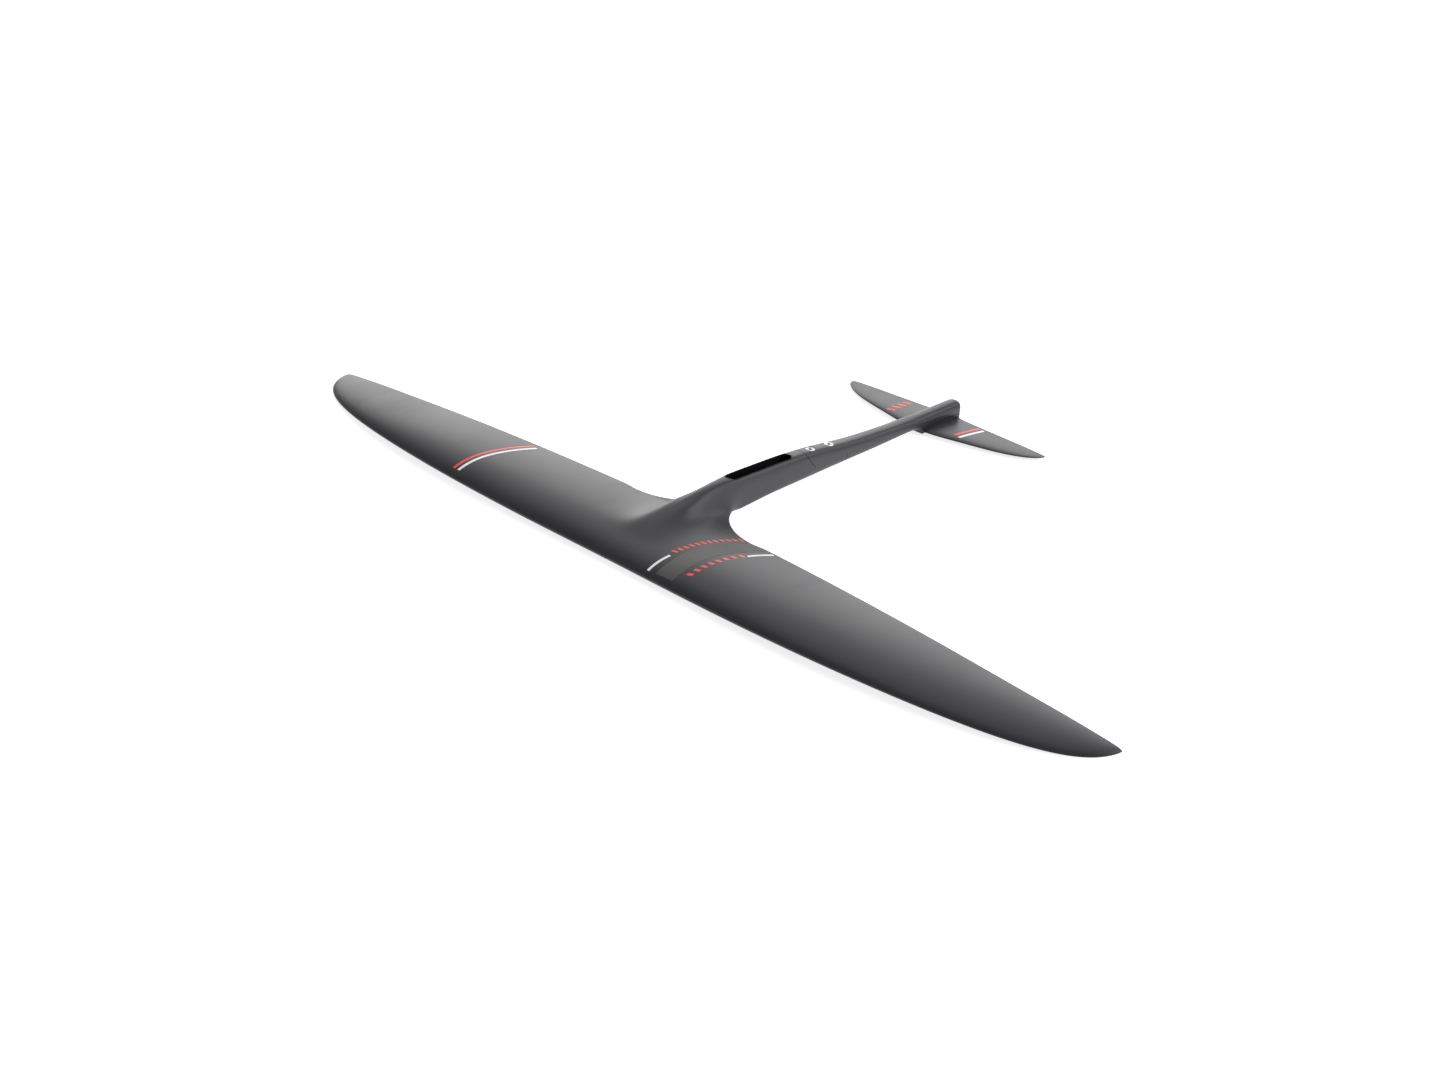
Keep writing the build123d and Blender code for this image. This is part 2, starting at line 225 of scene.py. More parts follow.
def mouldingHeight(x, y, side):
    base = foilHeight(frontWing, x, y, side)
    if abs(x) >= moulding["fanX"]:
        return base
    centre = foilHeight(frontWing, 0, y, side)
    if side > 0:
        rise = softPositive(topAt(y) - centre) * easeBetween(y, *moulding["crestY"])
    else:
        rise = -softPositive(centre - keelAt(y), moulding["keelSoft"])
        rise *= easeBetween(y, *moulding["keelY"])
    return base + rise * humpShape(x, y)


def rootEdge(turn):
    # The outline from the trailing edge at the fan's start (0) round the fillet to the body's side (1)
    flat = moulding["flatTurn"]
    centreX, centreY = moulding["filletCentre"]
    sizeX, sizeY = moulding["filletSize"]
    if turn < flat:
        x = mix(moulding["fanX"], centreX, turn / flat)
        return x, mix(foilStation(frontWing, x)[3], centreY - sizeY, easeInOut(turn / flat))
    angle = (turn - flat) / (1 - flat) * pi / 2
    return centreX - sizeX * sin(angle), centreY - sizeY * cos(angle)


def bodySection(y):
    half, top, keel = halfAt(y), topAt(y), keelAt(y)
    return half, top, keel, mix(keel, top, waistAt(y))


def bodyPoint(y, across, side):
    half, top, keel, waist = bodySection(y)
    power = 2 / boxyAt(y)
    edge = top if side > 0 else keel
    x = half * sin(across * pi / 2) ** power
    return x, y, waist + (edge - waist) * max(0.0, cos(across * pi / 2)) ** power


def mouldingPoint(line, across, side):
    # One point of the port half: line runs from the tip to the fuselage's end, and across from the
    # leading edge or the spine to the outline
    spanLines, fanLines = moulding["spanLines"], moulding["fanLines"]
    soft = 1 - cos(across * pi / 2)
    power = 2 / boxyAt(moulding["filletCentre"][1])
    if line <= spanLines:
        start = asin(moulding["fanX"] / frontWing["halfSpan"]) / (pi / 2)
        x = frontWing["halfSpan"] * sin(mix(1.0, start, line / spanLines) * pi / 2)
        _, leadY, _, trailY, _ = foilStation(frontWing, x)
        y = mix(leadY, trailY, soft)
        return x, y, foilHeight(frontWing, x, y, side)
    if line <= spanLines + fanLines:
        turn = (line - spanLines) / fanLines
        edgeX, edgeY = rootEdge(turn)
        bend = moulding["fanTurn"]
        bodyY = moulding["filletCentre"][1]
        if turn < bend:
            startX = moulding["fanX"] * (1 - turn / bend)
            startY = foilStation(frontWing, startX)[1]
        else:
            startX = 0.0
            startY = (turn - bend) / (1 - bend) * bodyY
        blend = easeBetween(turn, moulding["spineTurn"], 1.0)
        reach = mix(soft, sin(across * pi / 2) ** power, blend)
        x, y = mix(startX, edgeX, reach), mix(startY, edgeY, reach)
        waist = bodySection(bodyY)[3]
        lifted = easeBetween(turn, moulding["waistTurn"], 1.0)
        edgeZ = mix(foilStation(frontWing, edgeX)[4], waist, lifted)
        rimZ = edgeZ + side * frontWing["edge"] / 2 * (1 - blend)
        shaped = mouldingHeight(x, y, side)
        shaped += (rimZ - mouldingHeight(edgeX, edgeY, side)) * reach**5
        spine = mouldingHeight(startX, startY, side)
        bodyZ = rimZ + (spine - rimZ) * max(0.0, cos(across * pi / 2)) ** power
        return x, y, mix(shaped, bodyZ, blend)
    share = (line - spanLines - fanLines) / moulding["bodyLines"]
    return bodyPoint(mix(moulding["filletCentre"][1], moulding["endY"], share), across, side)


def sheet(bm, lineCount, acrossCount, pointAt):
    # A grid whose points are moved onto a surface
    made = bmesh.ops.create_grid(bm, x_segments=lineCount, y_segments=acrossCount, size=0.5)
    for vert in made["verts"]:
        line = round((vert.co.x + 0.5) * lineCount)
        across = round((vert.co.y + 0.5) * acrossCount)
        vert.co = toFrame(*pointAt(line, across / acrossCount))
    return made["verts"]


def meshObject(name, bm, body, finishes, smoothAngle=35.0):
    mesh = bpy.data.meshes.new(name)
    bm.to_mesh(mesh)
    bm.free()
    mesh.shade_smooth()
    mesh.set_sharp_from_angle(angle=radians(smoothAngle))
    for finish in finishes:
        mesh.materials.append(finish)
    made = bpy.data.objects.new(name, mesh)
    bpy.context.scene.collection.objects.link(made)
    if body:
        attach(made, body)
    return made


def closeShell(bm, weld=0.00002):
    bmesh.ops.remove_doubles(bm, verts=bm.verts, dist=weld)
    bmesh.ops.dissolve_degenerate(bm, edges=bm.edges, dist=0.000005)
    holes = [edge for edge in bm.edges if edge.is_boundary]
    if holes:
        bmesh.ops.holes_fill(bm, edges=holes, sides=0)
    bmesh.ops.recalc_face_normals(bm, faces=bm.faces)
    if bm.calc_volume(signed=True) < 0:
        bmesh.ops.reverse_faces(bm, faces=bm.faces)


def mirrorHalf(bm):
    copied = bmesh.ops.duplicate(bm, geom=bm.verts[:] + bm.edges[:] + bm.faces[:])["geom"]
    verts = [item for item in copied if isinstance(item, bmesh.types.BMVert)]
    bmesh.ops.scale(bm, vec=(-1, 1, 1), verts=verts)


def rimStrip(bm, lastLine, pointAt):
    # The blunt trailing edge, between the top and the underside
    def rimPoint(line, across):
        return [mix(a, b, across) for a, b in zip(pointAt(line, 1.0, 1), pointAt(line, 1.0, -1))]

    sheet(bm, lastLine, 1, rimPoint)


def mouldingMesh():
    bm = bmesh.new()
    lines = moulding["spanLines"] + moulding["fanLines"] + moulding["bodyLines"]
    for side in (1, -1):
        sheet(bm, lines, moulding["chordLines"], lambda line, across: mouldingPoint(line, across, side))
    rimStrip(bm, moulding["spanLines"] + moulding["fanLines"], mouldingPoint)
    mirrorHalf(bm)
    closeShell(bm)
    return bm


# Tools that cut holes, slots and laps out of a piece
fineWeld = 0.000002  # metres, for meshes whose points are close together


def turnedTool(profile, y, steps=64):
    # A profile of (radius, height) pairs turned about an upright line, from the axis out and back to it
    bm = bmesh.new()
    verts = [bm.verts.new(toFrame(radius, y, z)) for radius, z in profile]
    edges = [bm.edges.new(pair) for pair in zip(verts, verts[1:])]
    bmesh.ops.spin(
        bm,
        geom=verts + edges,
        cent=toFrame(0, y, 0),
        axis=(0, 0, 1),
        angle=2 * pi,
        steps=steps,
        use_merge=True,
    )
    closeShell(bm, fineWeld)
    return bm


def holeTool(y, radius, low, high):
    return turnedTool([(0, low), (radius, low), (radius, high), (0, high)], y)


def steppedTool(y, wide, low, step, narrow, high):
    # A wide hole from below up to a step, and a narrow one on from it
    profile = [(0, low), (wide, low), (wide, step), (narrow, step), (narrow, high), (0, high)]
    return turnedTool(profile, y)


def slotTool(length, width, y, low, high, segments=64):
    bm = bmesh.new()
    bmesh.ops.create_cone(
        bm,
        cap_ends=True,
        segments=segments,
        radius1=width / 2 * mm,
        radius2=width / 2 * mm,
        depth=(high - low) * mm,
        matrix=Matrix.Rotation(pi / segments, 4, "Z"),
    )
    for vert in bm.verts:
        vert.co.y += copysign((length - width) / 2 * mm, vert.co.y)
    bmesh.ops.translate(bm, vec=toFrame(0, y, (low + high) / 2), verts=bm.verts)
    return bm


lap = {
    "curve": [(315.0, 60.0), (319.0, 26.0), (331.0, 13.5)],  # Y and Z, from above down to the shoulder
    "heel": (389.0, 13.5),
    "toe": (395.0, -20.0),
    "seam": 0.7,
    "curveSteps": 14,
    "pastEnd": 430.0,  # the two cuts run on to these places along the fuselage
    "beforeStart": 290.0,
}


def lapTool(shift, farY, halfWidth=40.0):
    # A block whose face is the half-lap, in side view, and which reaches to farY
    depth = hypot(lap["curve"][1][0] - lap["curve"][0][0], lap["curve"][1][1] - lap["curve"][0][1])
    rest = hypot(lap["curve"][2][0] - lap["curve"][1][0], lap["curve"][2][1] - lap["curve"][1][1])
    knots = [0.0, depth, depth + rest]
    yAt = smoothRow(knots, [place[0] for place in lap["curve"]])
    zAt = smoothRow(knots, [place[1] for place in lap["curve"]])
    sideView = []
    for i in range(lap["curveSteps"] + 1):
        along = knots[-1] * i / lap["curveSteps"]
        sideView.append((yAt(along) + shift, zAt(along)))
    sideView += [(lap["heel"][0] + shift, lap["heel"][1]), (lap["toe"][0] + shift, lap["toe"][1])]
    sideView += [(farY, lap["toe"][1]), (farY, lap["curve"][0][1])]
    bm = bmesh.new()
    face = bm.faces.new([bm.verts.new(toFrame(-halfWidth, y, z)) for y, z in sideView])
    made = bmesh.ops.extrude_face_region(bm, geom=[face], use_keep_orig=True)["geom"]
    moved = [item for item in made if isinstance(item, bmesh.types.BMVert)]
    bmesh.ops.translate(bm, vec=(2 * halfWidth * mm, 0, 0), verts=moved)
    bmesh.ops.triangulate(bm, faces=[face for face in bm.faces if len(face.verts) > 4])
    closeShell(bm, fineWeld)
    return bm


def cutShape(bm, tools, operation="DIFFERENCE"):
    # The shape left after every tool has been taken away from it, as a new bmesh
    names = ["work"] + ["tool%d" % i for i in range(len(tools))]
    parts = []
    for name, source in zip(names, [bm] + tools):
        mesh = bpy.data.meshes.new(name)
        source.to_mesh(mesh)
        source.free()
        parts.append(bpy.data.objects.new(name, mesh))
        bpy.context.scene.collection.objects.link(parts[-1])
    work = parts[0]
    for tool in parts[1:]:
        modifier = work.modifiers.new(tool.name, "BOOLEAN")
        modifier.object, modifier.operation, modifier.solver = tool, operation, "EXACT"
    bpy.context.view_layer.update()
    cut = bmesh.new()
    cut.from_object(work, bpy.context.evaluated_depsgraph_get())
    for part in parts:
        mesh = part.data
        bpy.data.objects.remove(part)
        bpy.data.meshes.remove(mesh)
    bmesh.ops.remove_doubles(cut, verts=cut.verts, dist=fineWeld)
    bmesh.ops.dissolve_degenerate(cut, edges=cut.edges, dist=0.000001)
    return cut


# Shader groups, each used by more than one material
def shaderGroup(name, inputs, outputs):
    group = bpy.data.node_groups.new(name, "ShaderNodeTree")
    for label, kind, value in inputs:
        socket = group.interface.new_socket(name=label, in_out="INPUT", socket_type="NodeSocket" + kind)
        if value is not None:
            socket.default_value = value
    for label, kind in outputs:
        group.interface.new_socket(name=label, in_out="OUTPUT", socket_type="NodeSocket" + kind)
    return group, group.nodes.new("NodeGroupInput").outputs, group.nodes.new("NodeGroupOutput").inputs


def addNode(tree, kind, inputs=None, **settings):
    node = tree.nodes.new("ShaderNode" + kind)
    for name, value in settings.items():
        setattr(node, name, value)
    for key, value in (inputs or {}).items():
        if isinstance(value, bpy.types.NodeSocket):
            tree.links.new(value, node.inputs[key])
        else:
            node.inputs[key].default_value = value
    return node


def addMath(tree, operation, first, second=0.0, third=0.0):
    return addNode(tree, "Math", {0: first, 1: second, 2: third}, operation=operation).outputs[0]


def addNoise(tree, place, scale, detail):
    inputs = {"Vector": place, "Scale": scale, "Detail": detail}
    return addNode(tree, "TexNoise", inputs).outputs["Fac"]


def mapRange(tree, value, fromLow, fromHigh, toLow, toHigh):
    inputs = {"Value": value, "From Min": fromLow, "From Max": fromHigh, "To Min": toLow, "To Max": toHigh}
    return addNode(tree, "MapRange", inputs, interpolation_type="SMOOTHSTEP").outputs["Result"]


def mixColour(tree, share, first, second):
    node = addNode(tree, "Mix", {"Factor": share}, data_type="RGBA")
    for socket, value in ((node.inputs[6], first), (node.inputs[7], second)):
        if isinstance(value, bpy.types.NodeSocket):
            tree.links.new(value, socket)
        else:
            socket.default_value = (*value, 1.0)
    return node.outputs[2]


def sprayGrainGroup():
    # The soft orange peel of a sprayed coat under a finer grain, as a height from 0 to 1
    inputs = [("Vector", "Vector", None), ("Peel Size", "Float", 300.0), ("Grain Size", "Float", 2200.0)]
    inputs.append(("Grain Share", "Float", 0.5))
    group, given, result = shaderGroup("sprayGrain", inputs, [("Height", "Float")])
    peel = addNoise(group, given["Vector"], given["Peel Size"], 2.0)
    grain = addNoise(group, given["Vector"], given["Grain Size"], 3.0)
    fine = addMath(group, "MULTIPLY", grain, given["Grain Share"])
    rest = addMath(group, "SUBTRACT", 1.0, given["Grain Share"])
    broad = addMath(group, "MULTIPLY", peel, rest)
    group.links.new(addMath(group, "ADD", fine, broad), result["Height"])
    return group


def edgeWearGroup():
    # How worn the surface is: 1 on sharp edges that are rubbed, 0 on open faces
    inputs = [("Vector", "Vector", None), ("Break Size", "Float", 180.0), ("Amount", "Float", 0.5)]
    group, given, result = shaderGroup("edgeWear", inputs, [("Mask", "Float")])
    rounded = addNode(group, "Bevel", {"Radius": 0.0009}, samples=4).outputs[0]
    flat = addNode(group, "NewGeometry").outputs["Normal"]
    facing = addNode(group, "VectorMath", {0: rounded, 1: flat}, operation="DOT_PRODUCT")
    edge = mapRange(group, facing.outputs["Value"], 0.985, 0.80, 0.0, 1.0)
    patches = addNoise(group, given["Vector"], given["Break Size"], 4.0)
    broken = mapRange(group, patches, 0.38, 0.62, 0.15, 1.0)
    worn = addMath(group, "MULTIPLY", addMath(group, "MULTIPLY", edge, broken), given["Amount"])
    group.links.new(worn, result["Mask"])
    return group


def handledGroup():
    # Slow mottling and the fine smears that hands and packing leave, both from 0 to 1
    inputs = [("Vector", "Vector", None), ("Mottle Size", "Float", 9.0), ("Smear Size", "Float", 60.0)]
    outputs = [("Mottle", "Float"), ("Smear", "Float")]
    group, given, result = shaderGroup("handled", inputs, outputs)
    mottle = addNoise(group, given["Vector"], given["Mottle Size"], 3.0)
    group.links.new(mapRange(group, mottle, 0.3, 0.7, 0.0, 1.0), result["Mottle"])
    lean = {"Vector": given["Vector"], "Rotation": (0, 0, 0.5), "Scale": (1.0, 0.22, 1.0)}
    stretched = addNode(group, "Mapping", lean).outputs[0]
    smear = addNoise(group, stretched, given["Smear Size"], 5.0)
    group.links.new(mapRange(group, smear, 0.52, 0.72, 0.0, 1.0), result["Smear"])
    return group


groups = {"sprayGrain": sprayGrainGroup(), "edgeWear": edgeWearGroup(), "handled": handledGroup()}


def useGroup(tree, name, vector, **values):
    node = tree.nodes.new("ShaderNodeGroup")
    node.node_tree = groups[name]
    tree.links.new(vector, node.inputs["Vector"])
    for label, value in values.items():
        node.inputs[label.replace("_", " ")].default_value = value
    return node.outputs


def startMaterial(name, roughness=0.5, metallic=0.0, **sockets):
    # A material with its shader; whatever is the same all over is set on the shader's own sockets
    material = bpy.data.materials.new(name)
    material.use_nodes = True
    tree = material.node_tree
    shader = tree.nodes["Principled BSDF"]
    shader.inputs["Roughness"].default_value = roughness
    shader.inputs["Metallic"].default_value = metallic
    for label, value in sockets.items():
        shader.inputs[label.replace("_", " ")].default_value = value
    place = tree.nodes.new("ShaderNodeTexCoord").outputs["Object"]
    return material, tree, shader, place


def addBump(tree, shader, height, depth, strength=1.0):
    inputs = {"Height": height, "Distance": depth, "Strength": strength}
    tree.links.new(addNode(tree, "Bump", inputs).outputs["Normal"], shader.inputs["Normal"])


satinCoat = {
    "dark": (0.0238, 0.0230, 0.0300),
    "light": (0.0300, 0.0290, 0.0370),
    "worn": (0.085, 0.083, 0.086),
    "roughness": (0.375, 0.41),
    "smearRoughness": 0.02,
    "peelSize": 260.0,
    "grainSize": 2400.0,
    "depth": 0.000012,
}


def satinCoatMaterial():
    material, tree, shader, place = startMaterial("satinCoat")
    handled = useGroup(tree, "handled", place, Mottle_Size=7.0, Smear_Size=45.0)
    wear = useGroup(tree, "edgeWear", place, Amount=0.45)
    coat = mixColour(tree, handled["Mottle"], satinCoat["dark"], satinCoat["light"])
    tree.links.new(mixColour(tree, wear["Mask"], coat, satinCoat["worn"]), shader.inputs["Base Color"])
    low, high = satinCoat["roughness"]
    rough = mapRange(tree, handled["Mottle"], 0.0, 1.0, low, high)
    rough = addMath(tree, "MULTIPLY_ADD", handled["Smear"], satinCoat["smearRoughness"], rough)
    tree.links.new(rough, shader.inputs["Roughness"])
    peelSize, grainSize = satinCoat["peelSize"], satinCoat["grainSize"]
    grain = useGroup(tree, "sprayGrain", place, Peel_Size=peelSize, Grain_Size=grainSize)
    addBump(tree, shader, grain["Height"], satinCoat["depth"])
    return material


inks = {
    "white": {"colour": (0.93, 0.93, 0.93), "faded": (0.86, 0.86, 0.87), "roughness": 0.42},
    "red": {"colour": (0.86, 0.060, 0.062), "faded": (0.76, 0.052, 0.055), "roughness": 0.40},
}
# Painted light: the inks glow a little, which real ink does not, so the marks read bright on the dark coat
# in soft light
inkPaintedGlow = 0.22  # the ink is bright enough to read on a dark coat in soft light


def inkMaterial(name):
    # A printed mark: the ink is a little uneven, and thin where it has been rubbed
    ink = inks[name]
    material, tree, shader, place = startMaterial(name + "Ink", ink["roughness"])
    handled = useGroup(tree, "handled", place, Mottle_Size=90.0, Smear_Size=160.0)
    colour = mixColour(tree, handled["Mottle"], ink["colour"], ink["faded"])
    tree.links.new(colour, shader.inputs["Base Color"])
    # The ink's colour is also fed in as a glow: painted light that keeps the marks bright
    tree.links.new(colour, shader.inputs["Emission Color"])
    shader.inputs["Emission Strength"].default_value = inkPaintedGlow
    rough = addMath(tree, "MULTIPLY_ADD", handled["Smear"], 0.08, ink["roughness"])
    tree.links.new(rough, shader.inputs["Roughness"])
    grain = useGroup(tree, "sprayGrain", place, Peel_Size=500.0, Grain_Size=2600.0)
    addBump(tree, shader, grain["Height"], 0.000010)
    return material


gripBand = {
    "dark": (0.070, 0.072, 0.068),
    "light": (0.125, 0.125, 0.118),
    "speckle": 700.0,
    "specklesPerLine": 6,
    "depth": 0.00003,
}


def gripBandMaterial():
    # A band printed in fine crossed lines, a little paler and rougher than the coat round it
    material, tree, shader, place = startMaterial("gripBand", 0.55)
    lineScale = gripBand["speckle"] / gripBand["specklesPerLine"]
    inputs = {"Vector": place, "Scale": lineScale, "Distortion": 0.6}
    lines = addNode(tree, "TexWave", inputs)
    crossed = addNode(tree, "TexWave", inputs, bands_direction="Y")
    weave = addMath(tree, "MAXIMUM", lines.outputs["Fac"], crossed.outputs["Fac"])
    speckle = addNoise(tree, place, gripBand["speckle"], 4.0)
    share = addMath(tree, "MULTIPLY", weave, mapRange(tree, speckle, 0.35, 0.65, 0.35, 1.0))
    tree.links.new(mixColour(tree, share, gripBand["dark"], gripBand["light"]), shader.inputs["Base Color"])
    handled = useGroup(tree, "handled", place)
    tree.links.new(mapRange(tree, handled["Mottle"], 0.0, 1.0, 0.48, 0.60), shader.inputs["Roughness"])
    addBump(tree, shader, share, gripBand["depth"])
    return material


metals = {
    "steel": {"colour": (0.56, 0.56, 0.57), "dull": (0.40, 0.40, 0.41), "roughness": (0.22, 0.38)},
    "brass": {"colour": (0.66, 0.47, 0.20), "dull": (0.48, 0.33, 0.14), "roughness": (0.26, 0.42)},
}


def metalMaterial(name):
    # Turned metal: fine rings from the lathe, dulled in patches
    metal = metals[name]
    material, tree, shader, place = startMaterial("turned" + name.capitalize(), metallic=1.0)
    handled = useGroup(tree, "handled", place, Mottle_Size=120.0, Smear_Size=300.0)
    colour = mixColour(tree, handled["Mottle"], metal["colour"], metal["dull"])
    tree.links.new(colour, shader.inputs["Base Color"])
    rough = mapRange(tree, handled["Mottle"], 0.0, 1.0, *metal["roughness"])
    tree.links.new(addMath(tree, "MULTIPLY_ADD", handled["Smear"], 0.06, rough), shader.inputs["Roughness"])
    lathe = {"Vector": place, "Scale": 900.0, "Distortion": 1.2}
    rings = addNode(tree, "TexWave", lathe, bands_direction="Z")
    grain = useGroup(tree, "sprayGrain", place, Peel_Size=900.0, Grain_Size=4000.0, Grain_Share=0.7)
    height = addMath(tree, "MULTIPLY_ADD", rings.outputs["Fac"], 0.4, grain["Height"])
    addBump(tree, shader, height, 0.000006)
    return material


plastics = {
    "liner": {
        "dark": (0.0016, 0.0016, 0.0017),
        "light": (0.0030, 0.0030, 0.0031),
        "roughness": (0.62, 0.75),
    },
    "shim": {
        "dark": (0.012, 0.012, 0.012),
        "light": (0.020, 0.020, 0.020),
        "roughness": (0.55, 0.68),
    },
}


def plasticMaterial(name):
    plastic = plastics[name]
    material, tree, shader, place = startMaterial(name + "Plastic", Specular_IOR_Level=0.25)
    handled = useGroup(tree, "handled", place, Mottle_Size=40.0)
    wear = useGroup(tree, "edgeWear", place, Amount=0.2)
    base = mixColour(tree, handled["Mottle"], plastic["dark"], plastic["light"])
    tree.links.new(mixColour(tree, wear["Mask"], base, (0.03, 0.03, 0.03)), shader.inputs["Base Color"])
    rough = mapRange(tree, handled["Mottle"], 0.0, 1.0, *plastic["roughness"])
    tree.links.new(rough, shader.inputs["Roughness"])
    grain = useGroup(tree, "sprayGrain", place, Peel_Size=600.0, Grain_Size=3000.0)
    addBump(tree, shader, grain["Height"], 0.00003)
    return material


foam = {"cell": (0.62, 0.55, 0.36), "wall": (0.42, 0.36, 0.22), "cellScale": 900.0, "depth": 0.0002}


def foamMaterial():
    # Closed-cell core: small rounded cells in pale yellow
    material, tree, shader, place = startMaterial("foamCore", 0.85)
    cells = addNode(tree, "TexVoronoi", {"Vector": place, "Scale": foam["cellScale"]})
    share = mapRange(tree, cells.outputs["Distance"], 0.1, 0.6, 0.0, 1.0)
    tree.links.new(mixColour(tree, share, foam["cell"], foam["wall"]), shader.inputs["Base Color"])
    handled = useGroup(tree, "handled", place, Mottle_Size=30.0)
    tree.links.new(mapRange(tree, handled["Mottle"], 0.0, 1.0, 0.78, 0.90), shader.inputs["Roughness"])
    addBump(tree, shader, addMath(tree, "SUBTRACT", 1.0, share), foam["depth"])
    return material


carbonCloth = {
    "dark": (0.012, 0.012, 0.013),
    "light": (0.05, 0.05, 0.053),
    "towScale": 500.0,  # tows 2 mm wide
    "strandScale": 1200.0,
    "depth": 0.00005,
}


def carbonWeaveMaterial():
    # Bare carbon cloth: tows crossing at right angles under clear resin
    material, tree, shader, place = startMaterial("carbonWeave", 0.3, Coat_Weight=0.6, Coat_Roughness=0.12)
    tows = addNode(tree, "TexChecker", {"Vector": place, "Scale": carbonCloth["towScale"]})
    inputs = {"Vector": place, "Scale": carbonCloth["strandScale"]}
    strands = addNode(tree, "TexWave", inputs, bands_direction="DIAGONAL")
    share = addMath(tree, "MULTIPLY", tows.outputs["Fac"], strands.outputs["Fac"])
    colour = mixColour(tree, share, carbonCloth["dark"], carbonCloth["light"])
    tree.links.new(colour, shader.inputs["Base Color"])
    tree.links.new(mapRange(tree, share, 0.0, 1.0, 0.25, 0.42), shader.inputs["Roughness"])
    addBump(tree, shader, share, carbonCloth["depth"])
    return material


materials = {
    "coat": satinCoatMaterial(),
    "white": inkMaterial("white"),
    "red": inkMaterial("red"),
    "band": gripBandMaterial(),
    "steel": metalMaterial("steel"),
    "brass": metalMaterial("brass"),
    "liner": plasticMaterial("liner"),
    "shim": plasticMaterial("shim"),
    "foam": foamMaterial(),
    "carbon": carbonWeaveMaterial(),
}
print("materials made")

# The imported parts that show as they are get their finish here
nodeFinishes = {
    "steel": "steel",
    "insert": "brass",
    "liner": "liner",
    "shim": "shim",
    "foam": "foam",
    "carbon": "carbon",
    "carbon_coat": "coat",
}
for name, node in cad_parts.items():
    for slot in node.material_slots:
        slotName = slot.material.name.split(".")[0]
        slot.material = materials[nodeFinishes.get(slotName, "coat")]
print("packed parts finished")

# Heights of holes: "low" and "high" are how far each cut runs
screws = {
    "boom": {
        "y": (334.0, 368.0),
        "headTop": (31.1, 27.6),
        "shaft": 3.3,
        "head": 6.12,
        "headHeight": 3.42,
        "chamfer": 0.7,
        "low": 8.0,
        "high": 60.0,
    },
    "stabiliser": {
        "y": (560.0, 592.0),
        "shaft": 2.8,
        "ferrule": (6.42, -1.55),
        "low": -12.0,
        "high": 4.0,
    },
    "mast": {"y": (213.0, 273.0), "hole": 4.2, "ferrule": (9.02, 6.02), "low": -30.0, "high": 10.2},
    "tongue": {"radius": 4.62, "low": 2.4, "high": 20.0},
    "tail": {"radius": 4.02, "low": -5.0, "high": 11.45},
}
pocket = {
    "length": 106.3,
    "width": 15.8,
    "floor": 9.95,
    "wall": 1.2,
    "fit": 0.3,  # the lining's inside is this much smaller than the slot
    "clearZ": 70.0,
    "liningTop": 45.0,
    "boltCut": (-5.0, 20.0),
}


def frontMoulding():
    slot = slotTool(
        pocket["length"], pocket["width"], mastPlace["y"], pocket["floor"], pocket["clearZ"]
    )
    tools = [slot]
    mast, tongue = screws["mast"], screws["tongue"]
    radius, top = mast["ferrule"]
    for y in mast["y"]:
        tools.append(steppedTool(y, radius, mast["low"], top, mast["hole"], mast["high"]))
    tools.append(lapTool(0.0, lap["pastEnd"]))
    for y in screws["boom"]["y"]:
        tools.append(holeTool(y, tongue["radius"], tongue["low"], tongue["high"]))
    bm = cutShape(mouldingMesh(), tools)
    made = meshObject("front_moulding", bm, "front_wing", [materials["coat"]])
    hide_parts("wing_upper_skin", "wing_lower_skin", "front_fuselage")
    return made


def pocketLining():
    # The black lining of the mast pocket, trimmed flush with the moulding round it
    wall = 2 * pocket["wall"]
    length, width = pocket["length"], pocket["width"]
    low = mastPlace["z"] - pocket["wall"]
    block = slotTool(length + wall, width + wall, mastPlace["y"], low, pocket["liningTop"])
    length, width = length - pocket["fit"], width - pocket["fit"]
    inside = slotTool(length, width, mastPlace["y"], mastPlace["z"], pocket["clearZ"])
    trimmed = cutShape(block, [mouldingMesh()], "INTERSECT")
    tools = [inside]
    for y in screws["mast"]["y"]:
        tools.append(holeTool(y, screws["mast"]["hole"], *pocket["boltCut"]))
    bm = cutShape(trimmed, tools)
    made = meshObject("pocket_lining", bm, "front_wing", [materials["liner"]])
    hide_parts("mast_pocket_liner")


frontPiece = frontMoulding()
pocketLining()
print("front moulding made")

boom = {
    "startY": 308.0,
    "endY": 622.0,
    "lines": 110,
    "endLines": 20,
    "acrossLines": 32,
    "flatZ": 2.0,  # the flat under the tail, and over what length the keel runs into it
    "flatY": (520.0, 538.0),
    "deep": -4.0,
}


def boomPoint(line, across, side):
    # Past the straight lines the section turns about an upright line, for the round end
    straight = boom["lines"]
    turn = max(0, line - straight) / boom["endLines"] * pi / 2
    y = mix(boom["startY"], boom["endY"] - halfAt(boom["endY"]), min(line / straight, 1.0))
    half, top, keel, _ = bodySection(y)
    settle = easeBetween(y, *boom["flatY"])
    lowest = mix(keel, boom["flatZ"], settle)
    keel = mix(keel, boom["deep"], settle)
    waist = mix(keel, top, waistAt(y))
    power = 2 / boxyAt(y)
    edge = (top if side > 0 else keel) - waist
    z = waist + edge * max(0.0, cos(across * pi / 2)) ** power
    reach = half * sin(across * pi / 2) ** power
    return reach * cos(turn), y + reach * sin(turn), max(z, lowest)


